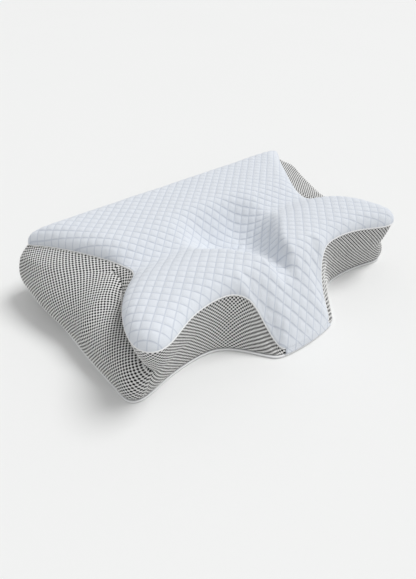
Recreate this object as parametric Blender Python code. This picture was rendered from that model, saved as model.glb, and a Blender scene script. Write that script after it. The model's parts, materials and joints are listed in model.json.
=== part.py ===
"""Butterfly-shaped contour memory-foam neck pillow: foam core, knit liner and zipped cover, in metres, +Z up.

The pillow lies flat. X runs along its length and +Y points to its straight rear edge. The origin is at the
centre of its underside. The plan is symmetric about X = 0.
"""

import math

import bmesh
import bpy
import numpy as np

MM = 0.001

# Driving sizes, in millimetres.
BASE_Z = 4.6            # height of the gussets' lower edge above the surface
BOTTOM_THICK = 2.4      # bottom panel
COVER_THICK = 2.4       # gusset mesh and quilted top
LINER_OUT = 4.0         # liner's outer face below the cover's outer face
LINER_IN = 4.8          # liner's inner face
FOAM_OUT = 6.4          # core's surface
NORMAL_PASSES = 16      # evening passes over the normals, so that the layers nest at tight bends
LINER_BOTTOM_Z = (3.0, 3.8)
FOAM_BASE_Z = 4.3
EASE_HEIGHT = 45.0      # the inner layers' lowest rows are eased to their base within this height
SEAM_GAP = 1.9          # half the slot that each piping lies in
ROLL_WIDTH = 30.0       # how far in from the seam the top reaches its full height
UPPER_PIPING_R = 1.0
LOWER_PIPING_R = 1.6
PIPING_SIDES = 6
LOWER_PIPING_Z = 2.4
UPPER_PIPING_PROUD = 0.5
PIPING_SHORT = 0.12     # how far the upper piping stops short of each nose, in places
BOTTOM_INSET = 2.3      # plates' edges inside the base seam
LINER_INSET = 6.5

# The top away from its edges.
CREST_Z = 116.0         # rear roll and the ridges of the wings
REAR_DROP = 6.0         # the roll's fall towards the rear edge
REAR_DROP_Y = (155.0, 192.0)
HOLLOW_DEPTH = 54.0     # head hollow below the crest
HOLLOW_HALF_WIDTH = 80.0
HOLLOW_SIDES = (0.25, 1.12)     # where its sides begin and end, in half widths
HOLLOW_REAR_Y = (0.0, 82.0)     # where it rises to the rear roll
NECK_DEPTH = 28.0       # channel at the hollow's front
NECK_HALF_WIDTH = 26.0
NECK_NARROWS_Y = (5.0, 105.0)   # distances forward of the centre
NECK_RISES_Y = (10.0, 95.0)
VALLEY_DEPTH = 19.0     # shallow valley across each wing, level with the side cut-outs
VALLEY_Y = 12.0
VALLEY_WIDTH = 36.0
RAMP_FOOT_Y = -190.0    # front lobe's ramp
RAMP_FOOT_Z = 17.0
RAMP_RISE = 80.0        # climbed in the run
RAMP_RUN = 68.0
RAMP_BEND = 1.15
RAMP_SIDE_RISE = 120.0  # lifts the ramp clear of the wings
RAMP_SIDE_X = (66.0, 116.0)
RAMP_BLEND = 22.0

# The zipper lies in a slot low in the flat rear side, closed at its right end.
ZIP_HALF = 150.0        # half the slot's length
ZIP_LOW_Z = 7.0
ZIP_HIGH_Z = 35.0
TAPE_FACE_Y = 184.0     # rear face of the tapes
TAPE_THICK = 0.8
COIL_HALF_GAP = 0.8     # half the gap between the two coils, where the slider's web runs
COIL_WIDTH = 1.7
COIL_PROUD = 1.3
COIL_OFF_TAPE = 0.1
ZIP_END_GAP = 0.4
COIL_END_X = 139.0
STOP_LENGTH = 2.6
STOP_GAP = 0.4
SLIDER_HOME_X = 129.0
SLIDER_HALF_LENGTH = 4.4
SLIDER_HALF_HEIGHT = 4.4
SLIDER_PLATE = 1.1
INNER_PLATE = 0.66
SLIDER_CLEAR = 0.35     # running clearance over the coils
WEB_HALF = 0.4
BAIL_HALF_WIDTH = 0.9
BAIL_HALF_LENGTH = 3.4
BAIL_BAR = 1.1
BAIL_ROOM = 2.3         # clear height under the bail
BAIL_SUNK = 0.3         # how far its legs run into the plate and the bar
PULL_LENGTH = 22.0
PULL_HALF_WIDTH = 3.4
PULL_THICK = 1.1
PULL_ARM = 1.5          # width of the arms beside its window
PULL_WINDOW = 6.2       # the window's length
SLOT_Y = (170.0, 200.0)     # cut right through the rear panel
REAR_MID_Z = (ZIP_LOW_Z + ZIP_HIGH_Z) / 2

# The care label hangs flat against the rear side.
LABEL_X = (-218.0, -190.0)
LABEL_Y = (190.2, 190.8)
LABEL_Z = (44.0, 72.0)

# Places round the right half of the plan, counted from 0 at the rear centre to 33 at the front centre.
HALF = 33
LOOP = 2 * HALF
STATIONS = 64           # columns of the faceted model, all round
REAR_CORNER = 3.4
FOLD_START = 9.5        # where the fold under the wing leaves the upper seam
FRONT_CORNER = 18.0     # below the wing tip
NOSE_CORNER = 31.0      # where the side mesh ends in a point beside the front lobe

# place: (x, y, z) of the upper seam: rear edge, side cut-out, wing tip, shoulder arch, front lobe.
UPPER_SEAM = {
    0: (0, 187, 91), 2: (180, 187, 91), 3: (243, 185, 91.5), 4: (272, 174, 92), 5: (262, 157, 93),
    7: (224, 104, 96), 9: (190, 46, 96), 10: (181, 23, 96), 11: (178, 5, 96), 12: (187, -8, 96),
    14: (220, -43, 98), 16: (245, -97, 99), 17: (247, -122, 99), 18: (237, -138, 98.5), 19: (219, -141, 98),
    21: (168, -120, 98), 23: (115, -112, 97), 24.5: (91, -117, 94), 26: (73, -128, 82), 28: (60, -149, 46),
    30: (52, -174, 16), 31: (45, -181.6, 11), 33: (0, -187.6, 10.6),
}

# place: (x, y, z) of the line halfway up the sides, which is a sharp fold under each wing.
FOLD = {
    0: (0, 187, 60), 2: (181, 187, 60), 3: (250, 186, 62), 4: (290, 180, 68), 5: (289, 153, 81),
    7: (264, 98.5, 84), 9: (212, 43, 88.5), 10: (197, 23, 87), 11: (202, 5, 78), 12: (207, -6, 68),
    13: (216, -20, 62), 15: (231, -66, 58), 17: (238, -115, 54), 18: (234, -128, 50), 19: (222, -131, 48),
    21: (170, -117, 50), 23: (119, -115, 50), 25: (92, -128, 48), 27: (73, -147, 38), 29: (61, -168, 15),
    31: (47, -183.6, 7.6), 33: (0, -189, 7.4),
}

# place: (x, y) of the base seam.
BASE_SEAM = {
    0: (0, 182), 2: (182, 182), 3: (250, 180), 4: (280, 167), 5: (286, 143), 7: (284, 82), 11: (280, -6),
    16: (272, -100), 17: (268, -118), 18: (254, -126), 20: (208, -118), 22: (146, -114), 24: (109, -127),
    26: (87, -150), 29: (66, -177), 31: (48, -186), 33: (0, -190),
}

# place: how far the side between the base and the fold swells out.
BELLY = {
    0: 0, 2: 0, 3: 4, 4: 20, 5: 27, 7: 36, 9: 41, 11: 41, 13: 36, 15: 26, 17: 12, 18: 5, 19: 3, 24: 3, 28: 2,
    33: 1,
}

# place: how far the side between the fold and the upper seam swells out.
CROWN = {0: 0.7, 2: 0.7, 3.4: 1.2, 4: 2, 5: 2.5, 7: 3, 9: 2, 12: 2, 18: 2, 33: 0.5}

# The swell's direction, as shares of the belly: outward and up, low on the side and then just under the fold.
LOW_SWELL = (1.05, 0.3)
HIGH_SWELL = 0.5
REAR_LIFT = 0.2         # upward share under the fold near the rear corner
WING_LIFT = 1.05        # and under the wing, where the side hangs over
LIFT_PLACES = (6.0, 12.0)

SIDE_SHARES = (0, 0.28, 0.62, 0.955, 1.07, 1.55)    # rows of the sides: 0 base, 1 fold, 2 upper seam
RING_SHARES = (0.975, 0.93, 0.85, 0.72, 0.54, 0.34, 0.15)    # rings of the top: 1 seam, 0 middle
FOLD_ROW = 3            # the narrow row of cells at the fold
SLOT_ROW = 6            # the row of cells that the upper piping takes
PANEL_ENDS = (REAR_CORNER, FOLD_START, FRONT_CORNER, NOSE_CORNER)
END_GAP_RUN = 1.6       # half the narrow column at a panel's end, measured along both seams together
CLEAR_RUN = 9.0         # run kept clear of other columns on each side of a panel's end


def loop_spline(points, mirrored):
    """A smooth closed curve through the half's points and their mirror image, as a function of the place."""
    places = sorted(points)
    known = [(p, np.atleast_1d(np.array(points[p], float))) for p in places]
    flip = np.ones(len(known[0][1]))
    if mirrored:
        flip[0] = -1
    known += [(LOOP - p, v * flip) for p, v in reversed(known) if 0 < p < HALF]
    t = np.array([p for p, _ in known], float)
    v = np.array([v for _, v in known])
    count = len(t)
    step = np.diff(np.append(t, t[0] + LOOP))
    system = np.zeros((count, count))
    right = np.zeros_like(v)
    for i in range(count):
        before, after = step[i - 1], step[i]
        system[i, i - 1] += before
        system[i, i] += 2 * (before + after)
        system[i, (i + 1) % count] += after
        right[i] = 6 * ((v[(i + 1) % count] - v[i]) / after - (v[i] - v[i - 1]) / before)
    bend = np.linalg.solve(system, right)

    def at(place):
        place = np.mod(np.atleast_1d(np.array(place, float)), LOOP)
        i = np.clip(np.searchsorted(t, place, side="right") - 1, 0, count - 1)
        j = (i + 1) % count
        h = step[i][:, None]
        a = (t[i][:, None] + h - place[:, None]) / h
        b = 1 - a
        curve = a * v[i] + b * v[j]
        return curve + ((a ** 3 - a) * bend[i] + (b ** 3 - b) * bend[j]) * h ** 2 / 6

    return at


upper_seam = loop_spline(UPPER_SEAM, True)
fold_line = loop_spline(FOLD, True)
base_plan = loop_spline(BASE_SEAM, True)
belly_size = loop_spline(BELLY, False)
crown_size = loop_spline(CROWN, False)


def base_seam(place):
    """The base seam at the height of the gussets' lower edge."""
    plan = base_plan(place)
    return np.column_stack([plan, np.full(len(plan), BASE_Z)])


def outward(place):
    """The level direction out of the base seam."""
    small = 0.05
    along = base_plan(np.array(place) + small) - base_plan(np.array(place) - small)
    along /= np.linalg.norm(along, axis=1)[:, None]
    return np.column_stack([-along[:, 1], along[:, 0], np.zeros(len(along))])


def seam_directions(place):
    """Along the upper seam, and square to it up the face of the side, as unit vectors."""
    small = 0.05
    along = upper_seam(np.array(place) + small) - upper_seam(np.array(place) - small)
    along /= np.linalg.norm(along, axis=1)[:, None]
    level = np.column_stack([-along[:, 1], along[:, 0], np.zeros(len(along))])
    across = np.cross(along, level)
    return along, across / np.linalg.norm(across, axis=1)[:, None]


def smooth_step(x, low, high):
    x = np.clip((x - low) / (high - low), 0, 1)
    return x * x * (3 - 2 * x)


def side_row(place, share):
    """A row of the sides: share 0 is the base seam, 1 the fold line and 2 the upper seam."""
    low, fold, high = base_seam(place), fold_line(place), upper_seam(place)
    out, up = outward(place), np.array([0, 0, 1.0])
    if share <= 1:
        belly = belly_size(place)
        near = np.minimum(np.mod(place, LOOP), LOOP - np.mod(place, LOOP))[:, None]
        lift = REAR_LIFT + (WING_LIFT - REAR_LIFT) * smooth_step(near, *LIFT_PLACES)
        chord = fold - low
        first = low + chord / 3 + belly * (LOW_SWELL[0] * out + LOW_SWELL[1] * up)
        second = low + chord * 2 / 3 + belly * (HIGH_SWELL * out + lift * up)
        a, b = 1 - share, share
        return a ** 3 * low + 3 * a * a * b * first + 3 * a * b * b * second + b ** 3 * fold
    rise = share - 1
    swell = 4 * rise * (1 - rise) * crown_size(place)
    return fold + (high - fold) * rise + swell * out


def smooth_min(a, b, width):
    h = np.clip(0.5 + 0.5 * (b - a) / width, 0, 1)
    return b + (a - b) * h - width * h * (1 - h)


def land(x, y):
    """Height of the top away from its edges: rear roll, head hollow, neck channel, wings and lobe ramp."""
    crest = CREST_Z - REAR_DROP * smooth_step(y, *REAR_DROP_Y)
    half_width = HOLLOW_HALF_WIDTH - (HOLLOW_HALF_WIDTH - NECK_HALF_WIDTH) * smooth_step(-y, *NECK_NARROWS_Y)
    depth = HOLLOW_DEPTH - (HOLLOW_DEPTH - NECK_DEPTH) * smooth_step(-y, *NECK_RISES_Y)
    flank = smooth_step(np.abs(x), HOLLOW_SIDES[0] * half_width, HOLLOW_SIDES[1] * half_width)
    bowl = (1 - flank) * (1 - smooth_step(y, *HOLLOW_REAR_Y))
    valley = VALLEY_DEPTH * np.exp(-((y - VALLEY_Y) / VALLEY_WIDTH) ** 2)
    climb = RAMP_RISE * np.clip((y - RAMP_FOOT_Y) / RAMP_RUN, 0, 2) ** RAMP_BEND
    ramp = RAMP_FOOT_Z + climb + RAMP_SIDE_RISE * smooth_step(np.abs(x), *RAMP_SIDE_X)
    return smooth_min(crest - depth * bowl - valley * (1 - bowl), ramp, RAMP_BLEND)


def top_rows(place, shares):
    """Rows of the top from the upper seam, share 1, to the middle, share 0."""
    seam = upper_seam(place)
    fine = upper_seam(np.arange(0, LOOP, 0.25))[:, :2]
    rows = []
    for share in shares:
        plan = seam[:, :2] * share
        gap = np.linalg.norm(plan[:, None, :] - fine[None, :, :], axis=2).min(axis=1)
        near = np.clip(gap / ROLL_WIDTH, 0, 1)
        roll = np.sqrt(1 - (1 - near) ** 2)
        height = seam[:, 2] + (land(plan[:, 0], plan[:, 1]) - seam[:, 2]) * roll
        rows.append(np.column_stack([plan, height]))
    return rows


def even_places(count):
    """Places round the loop, about evenly spaced along the seams, with a narrow pair at each panel end."""
    fine = np.linspace(0, HALF, 1321)
    both = np.hstack([upper_seam(fine), base_seam(fine)])
    run = np.concatenate([[0], np.cumsum(np.linalg.norm(np.diff(both, axis=0), axis=1))])
    half = list(np.interp(np.linspace(0, run[-1], count // 2 + 1), run, fine))
    for end in PANEL_ENDS:
        there = np.interp(end, fine, run)
        pair = np.interp([there - END_GAP_RUN, there + END_GAP_RUN], run, fine)
        half = [p for p in half if abs(np.interp(p, fine, run) - there) > CLEAR_RUN] + list(pair)
    half = np.array(sorted(half))
    return np.concatenate([half, LOOP - half[-2:0:-1]])


def cover_grid(places):
    """The cover's outer face as rows of points, from the base seam over the upper seam to the middle."""
    rows = [side_row(places, share) for share in SIDE_SHARES]
    seam = upper_seam(places)
    along, across = seam_directions(places)
    down = rows[-1] - seam
    down -= along * (down * along).sum(axis=1)[:, None]
    down /= np.linalg.norm(down, axis=1)[:, None]
    rows.append(seam + down * SEAM_GAP)
    rows.append(seam + across * SEAM_GAP)
    rows += top_rows(places, RING_SHARES)
    return np.array(rows)


def panel_at(row, place):
    """The name of the panel that a cell belongs to, or None in the slot for the upper piping."""
    side = "right" if place < HALF else "left"
    place = min(place, LOOP - place)
    if row > SLOT_ROW or place > NOSE_CORNER:
        return "cover_top_panel"
    if row == SLOT_ROW:
        return None
    if place < REAR_CORNER:
        return "gusset_rear"
    below = row < FOLD_ROW
    if place < FOLD_START or below and place < FRONT_CORNER:
        return "gusset_end_" + side
    return "gusset_front_" + side


def panel_cells(places):
    """The grid's cells for each panel. A cell in a narrow gap is kept only inside one panel."""
    edges = np.append(places, LOOP)
    middles = (edges[:-1] + edges[1:]) / 2
    count = len(places)
    narrow = [any(edges[i] < end < edges[i + 1] or edges[i] < LOOP - end < edges[i + 1] for end in PANEL_ENDS)
              for i in range(count)]
    cells = {}
    for row in range(len(SIDE_SHARES) + 1 + len(RING_SHARES)):
        rows = (row - 1, row + 1) if row == FOLD_ROW else (row,)
        for column in range(count):
            columns = (column - 1, (column + 1) % count) if narrow[column] else (column,)
            found = {panel_at(r, middles[c]) for r in rows for c in columns}
            if len(found) == 1 and None not in found:
                cells.setdefault(found.pop(), []).append((row, column))
    return cells


def grid_normals(grid):
    """Unit normals of a grid of rows whose columns close on themselves, evened out so that layers nest."""
    round_way = np.roll(grid, -1, axis=1) - np.roll(grid, 1, axis=1)
    up_way = np.empty_like(grid)
    up_way[1:-1] = grid[2:] - grid[:-2]
    up_way[0] = grid[1] - grid[0]
    up_way[-1] = grid[-1] - grid[-2]
    normals = np.cross(up_way, round_way)
    normals /= np.linalg.norm(normals, axis=2)[:, :, None]
    for _ in range(NORMAL_PASSES):
        above = np.concatenate([normals[1:], normals[-1:]])
        below = np.concatenate([normals[:1], normals[:-1]])
        beside = np.roll(normals, 1, axis=1) + np.roll(normals, -1, axis=1)
        normals = 4 * normals + above + below + beside
        normals /= np.linalg.norm(normals, axis=2)[:, :, None]
    return normals


def inner_grid(grid, depth, base_z):
    """The grid moved in by depth, with its lowest row brought to base_z and the rows above eased along."""
    moved = grid - grid_normals(grid) * depth
    lift = base_z - moved[0, :, 2]
    share = np.clip(1 - (grid[:, :, 2] - BASE_Z) / EASE_HEIGHT, 0, 1)
    moved[:, :, 2] += lift[None, :] * share
    return moved


def material(name, colour, roughness, metallic=0.0):
    made = bpy.data.materials.new(name)
    made.use_nodes = True
    shader = made.node_tree.nodes["Principled BSDF"]
    shader.inputs["Base Color"].default_value = (*colour, 1)
    shader.inputs["Roughness"].default_value = roughness
    shader.inputs["Metallic"].default_value = metallic
    return made


def add_object(name, points, faces, finish):
    """One named object from points in millimetres. Its faces are turned to point out."""
    mesh = bpy.data.meshes.new(name)
    mesh.from_pydata([tuple(float(c) * MM for c in p) for p in points], [], faces)
    build = bmesh.new()
    build.from_mesh(mesh)
    bmesh.ops.recalc_face_normals(build, faces=build.faces)
    build.to_mesh(mesh)
    build.free()
    if finish:
        mesh.materials.append(finish)
    made = bpy.data.objects.new(name, mesh)
    bpy.context.scene.collection.objects.link(made)
    return made


def halves(ring, column, columns):
    """A cell's two triangles. All layers share the diagonal, so that they nest, and the two sides mirror."""
    a, b, c, d = ring
    return [[a, b, c], [a, c, d]] if column < columns / 2 else [[a, b, d], [b, c, d]]


def shell(name, outer, inner, cells, finish, extra_faces=()):
    """A closed shell between two grids of rows, over the wanted cells, each a (row, column) pair."""
    wanted = set(cells)
    columns = outer.shape[1]
    points, index, faces = [], {}, []

    def corner(side, row, column):
        key = (side, row, column % columns)
        if key not in index:
            index[key] = len(points)
            points.append((outer, inner)[side][key[1], key[2]])
        return index[key]

    for row, column in sorted(wanted):
        ring = [(row, column), (row, column + 1), (row + 1, column + 1), (row + 1, column)]
        faces += halves([corner(0, *c) for c in ring], column, columns)
        faces += [half[::-1] for half in halves([corner(1, *c) for c in ring], column, columns)]
        beside = [(row - 1, column), (row, (column + 1) % columns),
                  (row + 1, column), (row, (column - 1) % columns)]
        for i, cell in enumerate(beside):
            if cell in wanted or (cell[0] == len(outer) - 1 and extra_faces):
                continue
            a, b = ring[i], ring[(i + 1) % 4]
            faces.append([corner(0, *b), corner(0, *a), corner(1, *a), corner(1, *b)])
    for side, middle in enumerate(extra_faces):
        centre = len(points)
        points.append(middle)
        last = len(outer) - 1
        for column in range(columns):
            faces.append([corner(side, last, column), corner(side, last, column + 1), centre])
    return add_object(name, points, faces, finish)


def solid_under(name, grid, middle, base_z, finish):
    """The closed solid under a grid of rows: flat below, with its rows meeting in the middle above."""
    columns = grid.shape[1]
    points = [p for row in grid for p in row]
    faces = []
    for row in range(len(grid) - 1):
        for column in range(columns):
            after = (column + 1) % columns
            ring = [row * columns + column, row * columns + after,
                    (row + 1) * columns + after, (row + 1) * columns + column]
            faces += halves(ring, column, columns)
    top, bottom = len(points), len(points) + 1
    points += [middle, (0, 0, base_z)]
    last = (len(grid) - 1) * columns
    for column in range(columns):
        after = (column + 1) % columns
        faces.append([last + column, last + after, top])
        faces.append([after, column, bottom])
    return add_object(name, points, faces, finish)


def plate(name, outline, low, high, finish):
    """A flat plate between two heights with the given plan outline, fanned from its middle."""
    count = len(outline)
    points = [(x, y, low) for x, y in outline] + [(x, y, high) for x, y in outline]
    points += [(0, 0, low), (0, 0, high)]
    faces = []
    for i in range(count):
        j = (i + 1) % count
        faces.append([i, j, count + j, count + i])
        faces.append([j, i, 2 * count])
        faces.append([count + i, count + j, 2 * count + 1])
    return add_object(name, points, faces, finish)


def tube(name, path, radius, finish, closed):
    """A round cord along a path, closed on itself or capped at both ends."""
    count = len(path)
    if closed:
        along = np.roll(path, -1, axis=0) - np.roll(path, 1, axis=0)
    else:
        along = np.gradient(path, axis=0)
    along /= np.linalg.norm(along, axis=1)[:, None]
    level = np.cross(along, (0, 0, 1.0))
    level /= np.linalg.norm(level, axis=1)[:, None]
    upright = np.cross(level, along)
    turns = math.tau * np.arange(PIPING_SIDES) / PIPING_SIDES
    points = [path[i] + radius * (math.cos(turn) * level[i] + math.sin(turn) * upright[i])
              for i in range(count) for turn in turns]
    faces = []
    for i in range(count if closed else count - 1):
        here, after = i * PIPING_SIDES, (i + 1) % count * PIPING_SIDES
        for k in range(PIPING_SIDES):
            beside = (k + 1) % PIPING_SIDES
            faces.append([here + k, here + beside, after + beside, after + k])
    if not closed:
        faces += [list(range(PIPING_SIDES)), list(range(len(points) - PIPING_SIDES, len(points)))]
    return add_object(name, points, faces, finish)


def inset_plan(places, inset):
    """The base seam's plan moved in by a distance."""
    return base_plan(places) - outward(places)[:, :2] * inset


def upper_piping_path(places):
    """The upper seam's stretch between the two noses, round the rear, a little proud of the cover."""
    half = [p for p in places if p < NOSE_CORNER - PIPING_SHORT]
    run = np.array([-p for p in reversed(half[1:])] + half)
    return upper_seam(run) + outward(run) * UPPER_PIPING_PROUD


def lowered(point, depth):
    return (point[0], point[1], point[2] - depth)


def cut_slot(panel):
    """Cuts the zipper's slot through the rear panel."""
    cutter = box("slot_cutter", (-ZIP_HALF, SLOT_Y[0], ZIP_LOW_Z), (ZIP_HALF, SLOT_Y[1], ZIP_HIGH_Z), None)
    combine(panel, cutter, "DIFFERENCE")


def box_mesh(low, high):
    """Points and faces of a box between two corners."""
    points = [(x, y, z) for x in (low[0], high[0]) for y in (low[1], high[1]) for z in (low[2], high[2])]
    faces = [(0, 1, 3, 2), (4, 6, 7, 5), (0, 4, 5, 1), (2, 3, 7, 6), (0, 2, 6, 4), (1, 5, 7, 3)]
    return points, faces


def box(name, low, high, finish):
    points, faces = box_mesh(low, high)
    return add_object(name, points, faces, finish)


def extrude_x(outline, x_low, x_high):
    """Points and faces of a (y, z) outline carried along X."""
    count = len(outline)
    points = [(x_low, y, z) for y, z in outline] + [(x_high, y, z) for y, z in outline]
    faces = [[i, (i + 1) % count, count + (i + 1) % count, count + i] for i in range(count)]
    faces += [list(range(count - 1, -1, -1)), list(range(count, 2 * count))]
    return points, faces


def combine(target, other, operation):
    """Applies an exact Boolean of other to target and removes other."""
    modifier = target.modifiers.new("combine", "BOOLEAN")
    modifier.operation = operation
    modifier.solver = "EXACT"
    modifier.object = other
    graph = bpy.context.evaluated_depsgraph_get()
    joined = bpy.data.meshes.new_from_object(target.evaluated_get(graph))
    target.modifiers.clear()
    target.data = joined
    bpy.data.objects.remove(other, do_unlink=True)


def set_origin(thing, at_mm):
    """Moves an object's origin to a point without moving its shape."""
    at = [c * MM for c in at_mm]
    for vertex in thing.data.vertices:
        vertex.co.x -= at[0]
        vertex.co.y -= at[1]
        vertex.co.z -= at[2]
    thing.location = at


def add_zipper(tape, coil, metal):
    """Tapes, coils, end stops, slider and pull of the zipper."""
    front = TAPE_FACE_Y - TAPE_THICK
    half = ZIP_HALF - ZIP_END_GAP
    coil_y = (TAPE_FACE_Y + COIL_OFF_TAPE, TAPE_FACE_Y + COIL_OFF_TAPE + COIL_PROUD)
    for name, sign in (("upper", 1), ("lower", -1)):
        edge = REAR_MID_Z + sign * (ZIP_HIGH_Z - ZIP_LOW_Z) / 2 - sign * ZIP_END_GAP
        inner = REAR_MID_Z + sign * COIL_HALF_GAP
        low, high = sorted((edge, inner))
        box(f"zipper_tape_{name}", (-half, front, low), (half, TAPE_FACE_Y, high), tape)
        low, high = sorted((inner, REAR_MID_Z + sign * (COIL_HALF_GAP + COIL_WIDTH)))
        box(f"zipper_coil_{name}", (-COIL_END_X, coil_y[0], low), (COIL_END_X, coil_y[1], high), coil)
    stop_low = COIL_END_X + STOP_GAP
    stop_z = COIL_HALF_GAP + COIL_WIDTH
    for name, sign in (("upper", 1), ("lower", -1)):
        low, high = sorted((REAR_MID_Z + sign * COIL_HALF_GAP, REAR_MID_Z + sign * stop_z))
        box(f"zipper_top_stop_{name}", (stop_low, coil_y[0], low), (stop_low + STOP_LENGTH, coil_y[1], high),
            metal)
    box("zipper_bottom_stop", (-stop_low - STOP_LENGTH, coil_y[0], REAR_MID_Z - stop_z),
        (-stop_low, coil_y[1], REAR_MID_Z + stop_z), metal)
    add_slider(coil_y[1], front, metal)


def add_slider(coil_top, tape_front, metal):
    """The slider: an outer plate with a web between the coils to an inner plate, and a bail for the pull."""
    x = SLIDER_HOME_X
    outer_low = coil_top + SLIDER_CLEAR
    outer_high = outer_low + SLIDER_PLATE
    inner_high = tape_front - SLIDER_CLEAR
    inner_low = inner_high - INNER_PLATE
    z, half = REAR_MID_Z, SLIDER_HALF_HEIGHT
    section = [(outer_high, z - half), (outer_high, z + half), (outer_low, z + half),
               (outer_low, z + WEB_HALF), (inner_high, z + WEB_HALF), (inner_high, z + half),
               (inner_low, z + half), (inner_low, z - half), (inner_high, z - half),
               (inner_high, z - WEB_HALF), (outer_low, z - WEB_HALF), (outer_low, z - half)]
    points, faces = extrude_x(section, x - SLIDER_HALF_LENGTH, x + SLIDER_HALF_LENGTH)
    slider = add_object("zipper_slider", points, faces, metal)
    for sign in (1, -1):
        low, high = sorted((x + sign * BAIL_HALF_LENGTH, x + sign * (BAIL_HALF_LENGTH - BAIL_BAR)))
        leg = box("leg", (low, outer_high - BAIL_SUNK, z - BAIL_HALF_WIDTH),
                  (high, outer_high + BAIL_ROOM + BAIL_SUNK, z + BAIL_HALF_WIDTH), metal)
        combine(slider, leg, "UNION")
    bar = box("bar", (x - BAIL_HALF_LENGTH, outer_high + BAIL_ROOM, z - BAIL_HALF_WIDTH),
              (x + BAIL_HALF_LENGTH, outer_high + BAIL_ROOM + BAIL_BAR, z + BAIL_HALF_WIDTH), metal)
    combine(slider, bar, "UNION")
    hinge = (x, outer_high + BAIL_ROOM / 2, z)
    pull = add_pull(hinge, metal)
    set_origin(slider, hinge)
    set_origin(pull, hinge)


def add_pull(hinge, metal):
    """The flat pull, whose end bar turns under the slider's bail."""
    x, y, z = hinge
    low, high = y - PULL_THICK / 2, y + PULL_THICK / 2
    half = PULL_THICK / 2
    outline = [(x + half, z - PULL_HALF_WIDTH), (x + half, z + PULL_HALF_WIDTH),
               (x - PULL_LENGTH, z + PULL_HALF_WIDTH), (x - PULL_LENGTH, z - PULL_HALF_WIDTH)]
    window = [(x - half, z - PULL_HALF_WIDTH + PULL_ARM), (x - half, z + PULL_HALF_WIDTH - PULL_ARM),
              (x - PULL_WINDOW, z + PULL_HALF_WIDTH - PULL_ARM),
              (x - PULL_WINDOW, z - PULL_HALF_WIDTH + PULL_ARM)]
    points = [(px, py, pz) for py in (low, high) for ring in (outline, window) for px, pz in ring]
    faces = []
    for i in range(4):
        j = (i + 1) % 4
        faces.append([i, j, 4 + j, 4 + i])
        faces.append([8 + j, 8 + i, 12 + i, 12 + j])
        faces.append([j, i, 8 + i, 8 + j])
        faces.append([4 + i, 4 + j, 12 + j, 12 + i])
    return add_object("zipper_pull", points, faces, metal)


def add_label(finish):
    """A blank care label that hangs flat against the rear side."""
    low, high = zip(LABEL_X, LABEL_Y, LABEL_Z)
    box("care_label", low, high, finish)


def add_cover_and_core():
    """Foam core, liner, quilted top, side panels, bottom panel and both pipings."""
    places = even_places(STATIONS)
    grid = cover_grid(places)
    inner = inner_grid(grid, COVER_THICK, BASE_Z)
    liner_outer = inner_grid(grid, LINER_OUT, FOAM_BASE_Z)
    liner_inner = inner_grid(grid, LINER_IN, FOAM_BASE_Z)
    foam = inner_grid(grid, FOAM_OUT, FOAM_BASE_Z)

    white = material("quilted_white", (0.86, 0.89, 0.94), 0.85)
    mesh_grey = material("mesh_grey", (0.16, 0.16, 0.17), 0.9)
    under_grey = material("bottom_fabric", (0.72, 0.74, 0.78), 0.9)
    piping_white = material("piping_white", (0.92, 0.93, 0.95), 0.7)
    knit = material("liner_knit", (0.93, 0.93, 0.92), 0.9)
    foam_white = material("memory_foam", (0.93, 0.90, 0.80), 0.95)
    tape = material("zipper_tape", (0.80, 0.82, 0.85), 0.85)
    coil = material("zipper_coil", (0.88, 0.89, 0.90), 0.4)
    metal = material("zipper_metal", (0.72, 0.73, 0.75), 0.3, 1.0)
    label = material("label_satin", (0.95, 0.95, 0.94), 0.5)

    finishes = {"cover_top_panel": white}
    top_middle = (0, 0, float(land(np.zeros(1), np.zeros(1))[0]))
    for name, cells in panel_cells(places).items():
        middle = (top_middle, lowered(top_middle, COVER_THICK)) if name == "cover_top_panel" else ()
        made = shell(name, grid, inner, cells, finishes.get(name, mesh_grey), middle)
        if name == "gusset_rear":
            cut_slot(made)

    every = [(row, column) for row in range(len(grid) - 1) for column in range(len(places))]
    shell("liner_top", liner_outer, liner_inner, every, knit,
          (lowered(top_middle, LINER_OUT), lowered(top_middle, LINER_IN)))
    solid_under("foam_core", foam, lowered(top_middle, FOAM_OUT), FOAM_BASE_Z, foam_white)
    plate("liner_bottom", inset_plan(places, LINER_INSET), *LINER_BOTTOM_Z, knit)
    plate("bottom_panel", inset_plan(places, BOTTOM_INSET), 0, BOTTOM_THICK, under_grey)
    base_path = np.column_stack([base_plan(places), np.full(len(places), LOWER_PIPING_Z)])
    tube("piping_lower", base_path, LOWER_PIPING_R, piping_white, True)
    upper_path = upper_piping_path(places)
    tube("piping_upper", upper_path, UPPER_PIPING_R, piping_white, False)
    add_zipper(tape, coil, metal)
    add_label(label)


def main():
    for old in list(bpy.data.objects):
        bpy.data.objects.remove(old, do_unlink=True)
    add_cover_and_core()


main()
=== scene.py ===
"""The looks of the contour neck pillow: quilted top, net side panels, pipings, zipper, label and studio."""

import json
import math

import bpy
import numpy as np
from mathutils import Matrix, Vector, kdtree
from mathutils.geometry import delaunay_2d_cdt

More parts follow.
